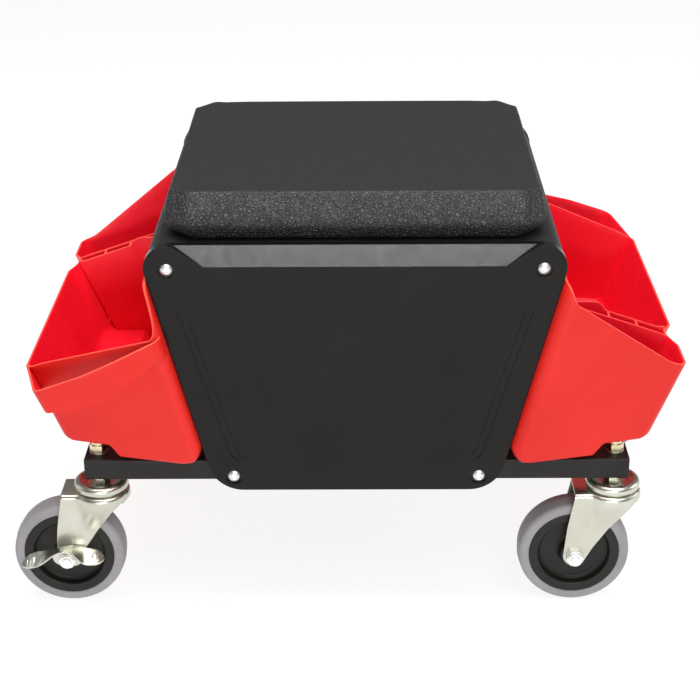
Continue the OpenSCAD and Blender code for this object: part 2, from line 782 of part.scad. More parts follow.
// Moulded wheel core: hub, dished web and rim band
module core() {
    half_w = wheel_w / 2 - 1;
    web = 6;
    hub_r = 15;
    well_r = 40;
    half = [
        [sleeve_r + run_gap, leg_in_y - 0.6], [hub_r - 1, leg_in_y - 0.6], [hub_r, leg_in_y - 2],
        [hub_r + 1.5, web + 2], [hub_r + 4, web], [well_r - 4, web], [well_r - 1.5, web + 2],
        [well_r, half_w - 1], [well_r + 1, half_w], [core_r - 0.6, half_w]
    ];
    outline = concat(half, [[core_r, half_w - 0.6]], [[core_r, 0.6 - half_w]],
        [for (i = [len(half) - 1:-1:0]) [half[i][0], -half[i][1]]]);
    color([0.14, 0.13, 0.12]) at_axle() rotate_extrude($fn = 96) polygon(outline);
}
module front_left_core() { at_castor(true, -1) core(); }
module front_right_core() { at_castor(true, 1) core(); }
module rear_left_core() { at_castor(false, -1) core(); }
module rear_right_core() { at_castor(false, 1) core(); }

// Grey tyre moulded round the core
module tyre() {
    shoulder_r = 6;
    half_w = wheel_w / 2;
    outer_r = wheel_d / 2;
    crown = 1;
    outline = concat(
        [[core_r, -half_w + 1]],
        [[core_r + 1.5, -half_w]],
        arc(outer_r - shoulder_r - crown, -half_w + shoulder_r, shoulder_r, -90, -10, 6),
        [[outer_r, 0]],
        arc(outer_r - shoulder_r - crown, half_w - shoulder_r, shoulder_r, 10, 90, 6),
        [[core_r + 1.5, half_w]],
        [[core_r, half_w - 1]]
    );
    color([0.52, 0.5, 0.52]) at_axle() rotate_extrude($fn = 96) polygon(outline);
}
module front_left_tyre() { at_castor(true, -1) tyre(); }
module front_right_tyre() { at_castor(true, 1) tyre(); }
module rear_left_tyre() { at_castor(false, -1) tyre(); }
module rear_right_tyre() { at_castor(false, 1) tyre(); }

// Rocking brake pedal: a plate on the axle with two drooping wings for the foot
module brake_lever() {
    wing_t = 2;
    wing_w = 20;
    saddle_z = 13;
    wing_tips = [-50, 42];
    tip_z = -4;
    plate_y = leg_out_y + lever_gap;
    color([0.8, 0.81, 0.78]) at_axle() difference() {
        union() {
            translate([0, 0, plate_y]) linear_extrude(lever_plate_t) {
                scale([1.5, 1]) circle(11.5);
                translate([-9, 0]) square([18, saddle_z]);
            }
            // wings, thickened along the axle and rounded off at the tips
            intersection() {
                translate([0, 0, plate_y]) linear_extrude(wing_w) polygon(concat(
                    [[wing_tips[0], tip_z], [-36, -1]],
                    [[-14, saddle_z - 3], [-7, saddle_z], [7, saddle_z], [13, saddle_z - 3]],
                    [[30, -1], [wing_tips[1], tip_z]],
                    [[wing_tips[1], tip_z + wing_t], [31, 1.5], [14, saddle_z - 0.5], [8, saddle_z + wing_t]],
                    [[-8, saddle_z + wing_t], [-15, saddle_z - 0.5], [-35, 1.5], [wing_tips[0], tip_z + wing_t]]
                ));
                translate([0, 30, plate_y]) rotate([90, 0, 0]) linear_extrude(60) hull() {
                    translate([-8, 0]) square([16, 6]);
                    translate([wing_tips[0] + 9, 11]) circle(9, $fn = 32);
                    translate([wing_tips[1] - 9, 11]) circle(9, $fn = 32);
                }
            }
        }
        translate([0, 0, plate_y - 1]) cylinder(r = axle_r + run_gap, h = 8);
    }
}
module front_left_brake_lever() { at_castor(true, -1) brake_lever(); }
module rear_right_brake_lever() { at_castor(false, 1) brake_lever(); }

front_cross_tube();
rear_cross_tube();
left_base_rail();
right_base_rail();
tube_end_caps();
front_left_upright();
front_right_upright();
rear_left_upright();
rear_right_upright();
front_upper_tube();
rear_upper_tube();
left_upper_rail();
right_upper_rail();
body_shell();
front_cover();
rear_cover();
front_cover_bolts();
rear_cover_bolts();
rivet_nuts();
seat_board();
seat_pad();
seat_bolts();
seat_tee_nuts();
left_bin();
right_bin();
left_bin_screws();
right_bin_screws();
castor_stems();
stem_washers();
stem_nuts();
race_caps();
swivel_balls();
front_left_fork();
front_right_fork();
rear_left_fork();
rear_right_fork();
front_left_axle_bolt();
front_right_axle_bolt();
rear_left_axle_bolt();
rear_right_axle_bolt();
front_left_axle_nut();
front_right_axle_nut();
rear_left_axle_nut();
rear_right_axle_nut();
front_left_axle_sleeve();
front_right_axle_sleeve();
rear_left_axle_sleeve();
rear_right_axle_sleeve();
front_left_core();
front_right_core();
rear_left_core();
rear_right_core();
front_left_tyre();
front_right_tyre();
rear_left_tyre();
rear_right_tyre();
front_left_brake_lever();
rear_right_brake_lever();
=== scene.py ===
import math

import bmesh
import bpy
import numpy as np
from mathutils import Matrix, Vector
from mathutils.geometry import delaunay_2d_cdt


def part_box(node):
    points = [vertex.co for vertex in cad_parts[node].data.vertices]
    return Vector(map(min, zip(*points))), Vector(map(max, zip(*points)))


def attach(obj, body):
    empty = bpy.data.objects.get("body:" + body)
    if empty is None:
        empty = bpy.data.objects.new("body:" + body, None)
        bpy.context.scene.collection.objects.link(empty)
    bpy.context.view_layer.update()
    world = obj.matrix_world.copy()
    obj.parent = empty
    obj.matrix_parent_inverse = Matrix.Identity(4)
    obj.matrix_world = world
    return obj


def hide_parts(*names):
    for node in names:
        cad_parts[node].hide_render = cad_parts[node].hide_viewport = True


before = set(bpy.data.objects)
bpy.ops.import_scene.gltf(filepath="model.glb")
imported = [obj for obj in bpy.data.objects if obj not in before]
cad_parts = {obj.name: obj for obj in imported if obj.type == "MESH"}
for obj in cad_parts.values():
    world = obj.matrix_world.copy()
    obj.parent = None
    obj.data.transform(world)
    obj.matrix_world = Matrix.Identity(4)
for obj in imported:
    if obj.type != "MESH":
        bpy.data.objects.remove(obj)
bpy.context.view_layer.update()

MM = 0.001

# Shapes are written in millimetres, in the frame's own axes, and scaled as their meshes are made.


# ---------- camera, lights and floor ----------

# The camera's place in metres, its turns in radians and its focal length in millimetres
CAMERA_PLACE = (0.0110, -1.7266, 1.0271)
CAMERA_YAW, CAMERA_DOWN, CAMERA_ROLL = 0.011, 0.435, -0.008
FOCAL_LENGTH = 82.43
FLOOR_HALF = 14


def make_camera():
    data = bpy.data.cameras.new("camera")
    data.sensor_width = 36
    data.lens = FOCAL_LENGTH
    data.clip_end = 40
    camera = bpy.data.objects.new("camera", data)
    bpy.context.collection.objects.link(camera)
    yaw = Matrix.Rotation(CAMERA_YAW, 4, "Z")
    pitch = Matrix.Rotation(math.pi / 2 - CAMERA_DOWN, 4, "X")
    roll = Matrix.Rotation(CAMERA_ROLL, 4, "Z")
    camera.matrix_world = Matrix.Translation(Vector(CAMERA_PLACE)) @ (yaw @ pitch @ roll)
    bpy.context.scene.camera = camera


def area_light(name, place, target, width, height, power):
    data = bpy.data.lights.new(name, "AREA")
    data.shape = "RECTANGLE"
    data.size = width
    data.size_y = height
    data.energy = power
    light = bpy.data.objects.new(name, data)
    bpy.context.collection.objects.link(light)
    light.location = place
    light.rotation_euler = (Vector(target) - Vector(place)).to_track_quat("-Z", "Y").to_euler()


def make_studio():
    area_light("front", (0, -3.0, 0.64), (0, 0, 0.42), 1.6, 0.24, 40)
    area_light("key", (0.9, -1.7, 2.5), (0, 0, 0.25), 1.6, 1.0, 22)
    area_light("top", (0, -0.1, 2.7), (0, 0, 0.3), 2.4, 1.8, 85)
    area_light("left", (-2.6, 0.3, 1.2), (0, 0, 0.3), 1.6, 1.2, 6)
    area_light("right", (2.6, 0.3, 1.2), (0, 0, 0.3), 1.6, 1.2, 15)
    world = bpy.data.worlds.new("studio")
    bpy.context.scene.world = world
    world.use_nodes = True
    background = world.node_tree.nodes["Background"]
    background.inputs["Color"].default_value = (1, 1, 1, 1)
    background.inputs["Strength"].default_value = 0.20
    bpy.context.scene.view_settings.view_transform = "Standard"


def make_floor():
    mesh = bpy.data.meshes.new("floor")
    corners = [(x * FLOOR_HALF, y * FLOOR_HALF, 0) for x, y in ((-1, -1), (1, -1), (1, 1), (-1, 1))]
    mesh.from_pydata(corners, [], [(0, 1, 2, 3)])
    floor = bpy.data.objects.new("floor", mesh)
    bpy.context.collection.objects.link(floor)
    mat = bpy.data.materials.new("floor")
    mat.use_nodes = True
    bsdf = mat.node_tree.nodes["Principled BSDF"]
    bsdf.inputs["Base Color"].default_value = (0.20, 0.20, 0.20, 1)
    bsdf.inputs["Roughness"].default_value = 0.8
    bsdf.inputs["Specular IOR Level"].default_value = 0.1
    bsdf.inputs["Emission Color"].default_value = (1, 1, 1, 1)
    bsdf.inputs["Emission Strength"].default_value = 0.86
    mesh.materials.append(mat)


# ---------- materials ----------

class Surface:
    """A Principled material whose textures follow the object's own coordinates, in metres."""

    def __init__(self, name, metal=0.0, specular=0.5):
        self.mat = bpy.data.materials.new(name)
        self.mat.use_nodes = True
        self.tree = self.mat.node_tree
        self.bsdf = self.tree.nodes["Principled BSDF"]
        self.bsdf.inputs["Metallic"].default_value = metal
        self.bsdf.inputs["Specular IOR Level"].default_value = specular
        self.coord = self.add("ShaderNodeTexCoord").outputs["Object"]
        self.normal = None

    def add(self, kind):
        return self.tree.nodes.new(kind)

    def link(self, a, b):
        self.tree.links.new(a, b)

    def stretched(self, scale):
        node = self.add("ShaderNodeMapping")
        self.link(self.coord, node.inputs["Vector"])
        node.inputs["Scale"].default_value = scale
        return node.outputs["Vector"]

    def noise(self, scale, detail=2.0, rough=0.5, distortion=0.0, coord=None):
        node = self.add("ShaderNodeTexNoise")
        self.link(coord or self.coord, node.inputs["Vector"])
        node.inputs["Scale"].default_value = scale
        node.inputs["Detail"].default_value = detail
        node.inputs["Roughness"].default_value = rough
        node.inputs["Distortion"].default_value = distortion
        return node.outputs["Fac"]

    def spread(self, fac, low, high, from_low=0.3, from_high=0.7):
        node = self.add("ShaderNodeMapRange")
        self.link(fac, node.inputs["Value"])
        node.inputs["From Min"].default_value = from_low
        node.inputs["From Max"].default_value = from_high
        node.inputs["To Min"].default_value = low
        node.inputs["To Max"].default_value = high
        return node.outputs["Result"]

    def math(self, operation, a, b):
        node = self.add("ShaderNodeMath")
        node.operation = operation
        for socket, value in zip(node.inputs, (a, b)):
            if isinstance(value, (int, float)):
                socket.default_value = value
            else:
                self.link(value, socket)
        return node.outputs["Value"]

    def colours(self, fac, stops):
        node = self.add("ShaderNodeValToRGB")
        self.link(fac, node.inputs["Fac"])
        ramp = node.color_ramp
        while len(ramp.elements) < len(stops):
            ramp.elements.new(0.5)
        for element, (place, colour) in zip(ramp.elements, stops):
            element.position = place
            element.color = (*colour, 1)
        self.link(node.outputs["Color"], self.bsdf.inputs["Base Color"])

    def rough(self, fac, low, high):
        self.link(self.spread(fac, low, high), self.bsdf.inputs["Roughness"])

    def bump(self, height, distance, strength=1.0):
        node = self.add("ShaderNodeBump")
        self.link(height, node.inputs["Height"])
        node.inputs["Distance"].default_value = distance
        node.inputs["Strength"].default_value = strength
        if self.normal is not None:
            self.link(self.normal, node.inputs["Normal"])
        self.normal = node.outputs["Normal"]
        self.link(self.normal, self.bsdf.inputs["Normal"])

    def facing_up(self):
        """1 where the surface faces up, 0 where it is upright."""
        geometry = self.add("ShaderNodeNewGeometry")
        split = self.add("ShaderNodeSeparateXYZ")
        self.link(geometry.outputs["Normal"], split.inputs["Vector"])
        return self.spread(split.outputs["Z"], 0.0, 1.0, 0.75, 0.98)


def black_plastic():
    s = Surface("black_plastic", specular=0.24)
    s.colours(s.noise(14, 3), [(0.35, (0.0034, 0.0026, 0.0018)), (0.65, (0.0056, 0.0044, 0.0034))])
    s.rough(s.noise(90, 4, 0.6), 0.20, 0.27)
    s.bump(s.noise(1900, 2), 0.00012, 0.35)
    s.bump(s.noise(9, 1), 0.0012, 0.10)
    return s.mat


def shell_plastic():
    s = Surface("shell_plastic", specular=0.25)
    s.colours(s.noise(20, 3), [(0.35, (0.0110, 0.0102, 0.0096)), (0.65, (0.0165, 0.0155, 0.0148))])
    s.rough(s.noise(120, 3), 0.45, 0.6)
    s.bump(s.noise(1500, 2), 0.0001, 0.4)
    return s.mat


def pad_skin():
    s = Surface("pad_skin", specular=0.42)
    warp = s.add("ShaderNodeVectorMath")
    warp.operation = "MULTIPLY_ADD"
    wobble = s.add("ShaderNodeTexNoise")
    s.link(s.coord, wobble.inputs["Vector"])
    wobble.inputs["Scale"].default_value = 190
    s.link(wobble.outputs["Color"], warp.inputs[0])
    warp.inputs[1].default_value = (0.0040, 0.0040, 0.0040)
    s.link(s.coord, warp.inputs[2])
    cells = s.add("ShaderNodeTexVoronoi")
    cells.feature = "DISTANCE_TO_EDGE"
    s.link(warp.outputs["Vector"], cells.inputs["Vector"])
    cells.inputs["Scale"].default_value = 250
    pebble = s.spread(cells.outputs["Distance"], 0.0, 1.0, 0.02, 0.30)
    flat = s.spread(s.facing_up(), 1.0, 0.10, 0.0, 1.0)
    # The pebble's cells colour the sides darker along their creases and lighter on their tops: painted shade
    # and painted highlight, kept faint on the up-facing top.
    painted_crease_shade = s.math("ADD", s.math("MULTIPLY", s.math("SUBTRACT", pebble, 0.6), flat), 0.5)
    patch = s.math("MULTIPLY", s.math("SUBTRACT", s.noise(60, 4, 0.6), 0.5), 0.4)
    s.colours(s.math("ADD", painted_crease_shade, patch), [(0.1, (0.0085, 0.0076, 0.0071)), (0.9, (0.0185, 0.0168, 0.0158))])
    s.rough(s.noise(300, 3), 0.40, 0.52)
    s.bump(s.math("MULTIPLY", pebble, flat), 0.0011, 0.9)
    s.bump(s.noise(2200, 2), 0.0001, 0.3)
    return s.mat


def red_plastic(name, low, high):
    s = Surface(name, specular=0.3)
    s.colours(s.noise(7, 3, 0.55), [(0.3, low), (0.7, high)])
    s.rough(s.noise(45, 4, 0.6), 0.36, 0.5)
    s.bump(s.noise(420, 3), 0.00022, 0.22)
    s.bump(s.noise(16, 2), 0.0011, 0.16)
    return s.mat


def frame_paint():
    s = Surface("frame_paint", specular=0.3)
    s.colours(s.noise(40, 4), [(0.3, (0.0075, 0.0060, 0.0050)), (0.7, (0.0125, 0.0106, 0.0090))])
    s.rough(s.noise(200, 3), 0.42, 0.58)
    s.bump(s.noise(1300, 3), 0.00018, 0.45)
    return s.mat


def cap_plastic():
    s = Surface("cap_plastic", specular=0.35)
    s.colours(s.noise(80, 3), [(0.3, (0.010, 0.010, 0.010)), (0.7, (0.016, 0.016, 0.015))])
    s.rough(s.noise(160, 3), 0.5, 0.62)
    s.bump(s.noise(1500, 2), 0.0001, 0.4)
    return s.mat


def zinc(name, dark, light, rough_low, rough_high, dent):
    s = Surface(name, metal=1.0)
    s.colours(s.noise(26, 5, 0.62, 0.4), [(0.28, dark), (0.72, light)])
    s.rough(s.noise(70, 4, 0.6, coord=s.stretched((1, 1, 0.25))), rough_low, rough_high)
    s.bump(s.noise(24, 2), 0.0009, dent)
    s.bump(s.noise(900, 2), 0.00003, 0.2)
    return s.mat


def wheel_core():
    s = Surface("wheel_core", specular=0.32)
    s.colours(s.noise(50, 3), [(0.3, (0.0080, 0.0066, 0.0050)), (0.7, (0.0130, 0.0112, 0.0090))])
    s.rough(s.noise(150, 3), 0.36, 0.5)
    s.bump(s.noise(1100, 2), 0.0001, 0.35)
    return s.mat


def tyre_rubber():
    s = Surface("tyre_rubber", specular=0.35)
    s.colours(s.noise(32, 5, 0.6), [(0.3, (0.250, 0.240, 0.252)), (0.7, (0.305, 0.294, 0.306))])
    s.rough(s.noise(120, 3), 0.48, 0.62)
    s.bump(s.noise(700, 3), 0.00015, 0.35)
    return s.mat


def plywood():
    s = Surface("plywood", specular=0.2)
    s.colours(s.noise(12, 6, 0.6, 1.2, s.stretched((1, 14, 30))),
              [(0.25, (0.30, 0.19, 0.10)), (0.5, (0.47, 0.32, 0.18)), (0.8, (0.56, 0.40, 0.24))])
    s.rough(s.noise(80, 3), 0.6, 0.75)
    s.bump(s.noise(160, 4, coord=s.stretched((1, 10, 10))), 0.0003, 0.4)
    return s.mat


# ---------- meshes ----------

def object_of(name, vertices, faces, place=None):
    mesh = bpy.data.meshes.new(name)
    turn = place or Matrix.Identity(4)
    mesh.from_pydata([turn @ (Vector(v) * MM) for v in vertices], [], faces)
    mesh.update()
    piece = bpy.data.objects.new(name, mesh)
    bpy.context.collection.objects.link(piece)
    return piece


def finish_piece(piece, body, materials, nodes=(), smooth=35):
    for mat in materials:
        piece.data.materials.append(mat)
    for face in piece.data.polygons:
        face.use_smooth = True
    piece.data.set_sharp_from_angle(angle=math.radians(smooth))
    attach(piece, body)
    if nodes:
        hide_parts(*nodes)


def soften(piece, width, segments=2, angle=25):
    bevel = piece.modifiers.new("soft_edges", "BEVEL")
    bevel.width = width * MM
    bevel.segments = segments
    bevel.limit_method = "ANGLE"
    bevel.angle_limit = math.radians(angle)
    bevel.use_clamp_overlap = True


def thicken(piece, thickness, offset=-1.0, rim_slot=0, inner_slot=0):
    solid = piece.modifiers.new("wall", "SOLIDIFY")
    solid.thickness = thickness * MM
    solid.offset = offset
    solid.use_even_offset = True
    solid.material_offset_rim = rim_slot
    solid.material_offset = inner_slot


def arc(cx, cy, r, a0, a1, n):
    return [(cx + r * math.cos(math.radians(a0 + (a1 - a0) * i / n)),
             cy + r * math.sin(math.radians(a0 + (a1 - a0) * i / n))) for i in range(n + 1)]


def fillet(a, b, c, r, n):
    """The turn at b on the way from a to c, rounded to r, as n + 1 points."""
    a, b, c = Vector(a), Vector(b), Vector(c)
    u, v = (a - b).normalized(), (c - b).normalized()
    half = math.acos(max(-1, min(1, u.dot(v)))) / 2
    reach = r / math.tan(half)
    centre = b + (u + v).normalized() * r / math.sin(half)
    start, end = b + u * reach - centre, b + v * reach - centre
    a0 = math.degrees(math.atan2(start.y, start.x))
    turn = (math.degrees(math.atan2(end.y, end.x)) - a0 + 540) % 360 - 180
    return arc(centre.x, centre.y, r, a0, a0 + turn, n)


def rounded(corners, n, closed=True):
    """An outline through rows of x, y, radius and the number of points on the straight after the corner."""
    count = len(corners)
    points = [(x, y) for x, y, _, _ in corners]
    turns = []
    for i, (x, y, r, _) in enumerate(corners):
        if not closed and i in (0, count - 1):
            turns.append([(x, y)])
        else:
            turns.append(fillet(points[i - 1], (x, y), points[(i + 1) % count], r, n))
    out = []
    for i, turn in enumerate(turns):
        out += turn
        if closed or i < count - 1:
            (x0, y0), (x1, y1) = turn[-1], turns[(i + 1) % count][0]
            parts = corners[i][3] + 1
            out += [(x0 + (x1 - x0) * k / parts, y0 + (y1 - y0) * k / parts) for k in range(1, parts)]
    return np.array(out)


def outward(ring, closed=True):
    """Unit normals of an anticlockwise outline."""
    if closed:
        along = np.roll(ring, -1, 0) - np.roll(ring, 1, 0)
    else:
        along = np.gradient(ring, axis=0)
    along /= np.linalg.norm(along, axis=1)[:, None]
    return np.stack([along[:, 1], -along[:, 0]], 1)


def grid_faces(rows, columns, closed=False, base=0):
    faces = []
    for r in range(rows - 1):
        for c in range(columns if closed else columns - 1):
            d = (c + 1) % columns
            faces.append((base + r * columns + c, base + r * columns + d,
                          base + (r + 1) * columns + d, base + (r + 1) * columns + c))
    return faces


def loop_edges(count, start=0):
    return [(start + i, start + (i + 1) % count) for i in range(count)]


def triangles(points, edges):
    """Triangles of a flat outline, with every point in them."""
    flat, _, tiles, _, _, _ = delaunay_2d_cdt([Vector(p) for p in points], edges, [], 1, 1e-6)
    return flat, [tuple(tile) for tile in tiles]


def plate_with_hole(outline, hole_r, sides):
    """Triangles of a flat plate with a round hole at the origin."""
    hole = arc(0, 0, hole_r, 0, 360, sides)[:-1]
    edges = loop_edges(len(outline)) + loop_edges(sides, len(outline))
    flat, tiles = triangles([*outline, *hole], edges)
    inner = 0.97 * hole_r
    return flat, [t for t in tiles if sum((flat[i] for i in t), Vector((0, 0))).length / len(t) > inner]


# ---------- bins ----------
# The right-hand bin is drawn; the left-hand one is the same part turned half round.

# The box's upper and lower corner circles: half width, height and radius of each
BOX_TOP_X, BOX_TOP_Z, BOX_TOP_R = 192.0, 414.5, 24.5
BOX_FOOT_X, BOX_FOOT_Z, BOX_FOOT_R = 122.2, 194.0, 38.0

BIN_T, BIN_GAP = 2.6, 0.6
BIN_RIM_X, BIN_RIM_Z, BIN_BACK_Z, BIN_LEAN = 352.0, 293.0, 402.0, 0.4
# Half length of a bin at a point of its rim, and its growth towards the box and upwards
END_Y, END_X, END_Z, END_SPLAY, END_LEAN = 195.0, 331.0, 300.0, 0.25, 0.1
# The sloping rim ends at RIM_EDGE_X and is level from RIM_FLAT_X on; the end beyond STEEP_Y has the steep rim
RIM_EDGE_X, RIM_FLAT_X, RIM_ROUNDING, STEEP_Y = 335.0, 349.0, 5.0, -130.0
PLATES = (-119.0, -102.0)
RIBS = (278.0, 309.0)
TAB_TOP = [(196, 330.5), (262, 330.5), (268, 329), (273, 325), (276, 318), (277, 300)]
NOTCH_Y, NOTCH_DEPTH, NOTCH_HALF_W, NOTCH_HALF_FLAT = -110.5, 11.0, 26.0, 6.0
BIN_MID_Z = 205.0
HALF_TURN = Matrix.Rotation(math.pi, 4, "Z")


def box_side_x(z):
    """Outer face of the tapered box: the line that touches its two corner circles."""
    across, down = BOX_TOP_X - BOX_FOOT_X, BOX_TOP_Z - BOX_FOOT_Z
    tilt = math.atan2(across, down) - math.asin((BOX_FOOT_R - BOX_TOP_R) / math.hypot(across, down))
    touch_x = BOX_TOP_X + BOX_TOP_R * math.cos(tilt)
    touch_z = BOX_TOP_Z - BOX_TOP_R * math.sin(tilt)
    return touch_x - math.tan(tilt) * (touch_z - z)


def bin_in_x(z):
    return box_side_x(z) + BIN_GAP


def bin_out_x(z):
    return BIN_RIM_X + BIN_LEAN * (z - BIN_RIM_Z)


def bin_end_y(x, z):
    return END_Y + END_SPLAY * (END_X - x) + END_LEAN * (z - END_Z)


def bin_ring(z):
    """Plan of a bin's wall at height z, with the notch in its outer wall."""
    xi, xo = bin_in_x(z), bin_out_x(z)
    corners = [(xi, bin_end_y(xi, z), 12, 44), (xi, -bin_end_y(xi, z), 16, 50),
               (xo, -bin_end_y(xo, z), 13, 5),
               (xo, NOTCH_Y - NOTCH_HALF_W, 16, 1), (xo - NOTCH_DEPTH, NOTCH_Y - NOTCH_HALF_FLAT, 4, 1),
               (xo - NOTCH_DEPTH, NOTCH_Y + NOTCH_HALF_FLAT, 4, 1), (xo, NOTCH_Y + NOTCH_HALF_W, 16, 30),
               (xo, bin_end_y(xo, z), 12, 50)]
    return rounded(corners, 8)


def rim_z(x, steep):
    """Height of a bin's rim above x, rounded off where its slope changes."""
    slope, edge_z, back_x = (0.755, 298.0, 224.0) if steep else (0.34, 299.5, 150.0)
    line = [(back_x, edge_z + slope * (RIM_EDGE_X - back_x)), (RIM_EDGE_X, edge_z), (RIM_FLAT_X, BIN_RIM_Z)]
    if steep:
        line.insert(0, (218.0, BIN_BACK_Z))
    around = np.asarray(x)[..., None] + np.linspace(-RIM_ROUNDING, RIM_ROUNDING, 11)
    return np.interp(around, *zip(*line)).mean(-1)


def corner_lift(x, y, z):
    """How much higher than its slope the rim is, where it turns up along the wall by the box."""
    lift = np.interp(bin_end_y(x, z) - y, [0, 2.5, 6, 9, 12, 20], [0, 4, 13, 30, 54, 66])
    return np.where(x < 240, lift, 0)


def floor_z(x):
    """Height of a bin's floor: low from x 187 to 256, climbing towards the box and stepping up outwards."""
    return np.interp(x, [150, 164, 170, 178, 187, 256, 260, 263.5, 267, 400],
                     [206, 201, 196.5, 192.5, 190.5, 190.2, 194, 200, 203.5, 205.5])


class BinWalls:
    """Every column of a bin's wall is a straight line between a low ring and a high one."""

    def __init__(self):
        self.low_z, self.high_z = 175.0, 410.0
        self.low, self.high = bin_ring(self.low_z), bin_ring(self.high_z)
        self.normal = -outward((self.low + self.high) / 2)
        if self.normal[np.argmax(self.low[:, 0])][0] < 0:
            self.normal = -self.normal
        self.steep = self.low[:, 1] < STEEP_Y

    def at(self, z, inset=0.0):
        k = ((np.asarray(z) - self.low_z) / (self.high_z - self.low_z))[:, None]
        return self.low + (self.high - self.low) * k - self.normal * np.asarray(inset)[..., None]

    def rim(self):
        low = np.full(len(self.low), 240.0)
        high = np.full(len(self.low), self.high_z)
        for _ in range(30):
            mid = (low + high) / 2
            x, y = self.at(mid).T
            top = np.where(self.steep, rim_z(x, True), rim_z(x, False) + corner_lift(x, y, mid))
            above = mid > np.minimum(top, BIN_BACK_Z)
            high, low = np.where(above, mid, high), np.where(above, low, mid)
        return (low + high) / 2


def bin_wall_mesh():
    """Rings up the wall, from the floor's edge round the bottom corner to the rim, and the stepped floor."""
    walls = BinWalls()
    count = len(walls.low)
    facing = walls.normal[:, 0]
    corner_r = 5 + 4 * np.clip(facing, 0, 1) + 7 * np.clip(-facing, 0, 1)
    rings = []
    for angle in np.radians([90, 70, 50, 32, 15]):
        inset = corner_r * (1 - math.cos(angle))
        z = np.full(count, BIN_MID_Z)
        for _ in range(4):
            z = floor_z(walls.at(z, inset)[:, 0]) + corner_r * (1 - math.sin(angle))
        rings.append((walls.at(z, inset), z))
    foot = floor_z(walls.at(z)[:, 0]) + corner_r
    rim = walls.rim()
    for k in np.linspace(0, 1, 15):
        z = foot + (rim - foot) * k
        rings.append((walls.at(z), z))
    vertices = [(x, y, h) for ring, z in rings for (x, y), h in zip(ring, z)]
    faces = grid_faces(len(rings), count, closed=True)
    floor_edge = rings[0][0]
    columns = (188, 196, 203, 212, 221, 230, 240, 250, 257, 259.5, 262, 264.5, 267, 275, 285, 295, 303)
    inside = [(x, y) for x in columns for y in range(-190, 200, 9) if in_outline((x, y), floor_edge, 4)]
    flat, tiles = triangles([*floor_edge, *inside], loop_edges(count))
    base = len(vertices)
    vertices += [(p.x, p.y, float(floor_z(p.x))) for p in flat]
    faces += [tuple(base + i for i in tile) for tile in tiles]
    return vertices, faces


def in_outline(point, outline, margin):
    """Whether a point is inside a closed outline by at least a margin."""
    nearest = np.min(np.linalg.norm(outline - np.array(point), axis=1))
    if nearest < margin:
        return False
    x, y = point
    inside = False
    for (x0, y0), (x1, y1) in zip(outline, np.roll(outline, -1, 0)):
        if (y0 > y) != (y1 > y) and x < x0 + (x1 - x0) * (y - y0) / (y1 - y0):
            inside = not inside
    return inside


def sheet_mesh(top, leaning, rows=6):
    """A sheet from a line of (x, y, top z) down to the floor; a leaning one keeps to the bin's walls."""
    foot_z, clear, lift, level_half = 200, 1, 14, 0.38
    inner, outer = bin_in_x(foot_z), bin_out_x(foot_z)
    vertices = []
    for k in np.linspace(0, 1, rows):
        for x, y, z in top:
            share = (x - bin_in_x(z)) / (bin_out_x(z) - bin_in_x(z))
            foot_x = inner + share * (outer - inner) if leaning else x
            past_level = max(0, abs(share - 0.5) - level_half) / (0.5 - level_half)
            low = float(floor_z(foot_x)) + clear + lift * past_level
            vertices.append((foot_x + (x - foot_x) * k, y, low + (z - low) * k))
    return vertices, grid_faces(rows, len(top))


def plate_top(y, tab):
    """Top edge of a plate across the bin; the tab stands up near the box."""
    out = []
    for x in np.linspace(201.3, 342.3, 70):
        z = float(rim_z(x, False))
        if tab:
            z = max(z, float(np.interp(x, *zip(*TAB_TOP))))
        out.append((x, y, z))
    return out


def join_faces(piece):
    """Joins the floor to the wall and turns every face away from the bin's inside."""
    bm = bmesh.new()
    bm.from_mesh(piece.data)
    bmesh.ops.remove_doubles(bm, verts=bm.verts, dist=0.05 * MM)
    bmesh.ops.recalc_face_normals(bm, faces=bm.faces)
    lowest = min(bm.faces, key=lambda f: f.calc_center_median().z)
    if lowest.normal.z > 0:
        bmesh.ops.reverse_faces(bm, faces=bm.faces)
    bm.to_mesh(piece.data)
    bm.free()


def holster_mesh():
    """The open ring at the bin's end: a leaning band that flows out of the bin's inner corner."""
    corners = [(203.5, 219, 1, 2), (205, 232, 12, 6), (246, 250.5, 40, 4), (279, 261.5, 40, 8),
               (327, 263, 8, 12), (351, 178, 1, 0)]
    ring = rounded(corners, 8, closed=False)
    tip_x, inner_lean = 326, 0.3
    top = rim_z(ring[:, 0], False)
    top = np.where(ring[:, 0] > tip_x, np.interp(ring[:, 1], [190, 250], [BIN_RIM_Z + 0.4, 302.3]), top)
    share = np.clip((ring[:, 0] - 214) / 130, 0, 1)
    lean = inner_lean + share * (BIN_LEAN - inner_lean)
    height = np.interp(ring[:, 0], [204, 218, 232, 261, 305, 322, 352], [20, 23, 28.5, 34, 33, 27, 26])
    vertices = []
    rows = 7
    for k in np.linspace(0, 1, rows):
        for (x, y), h, band, slope in zip(ring, top, height, lean):
            drop = band * (1 - k)
            vertices.append((x - slope * drop, y - 0.1 * drop, h - drop))
    return vertices, grid_faces(rows, len(ring))


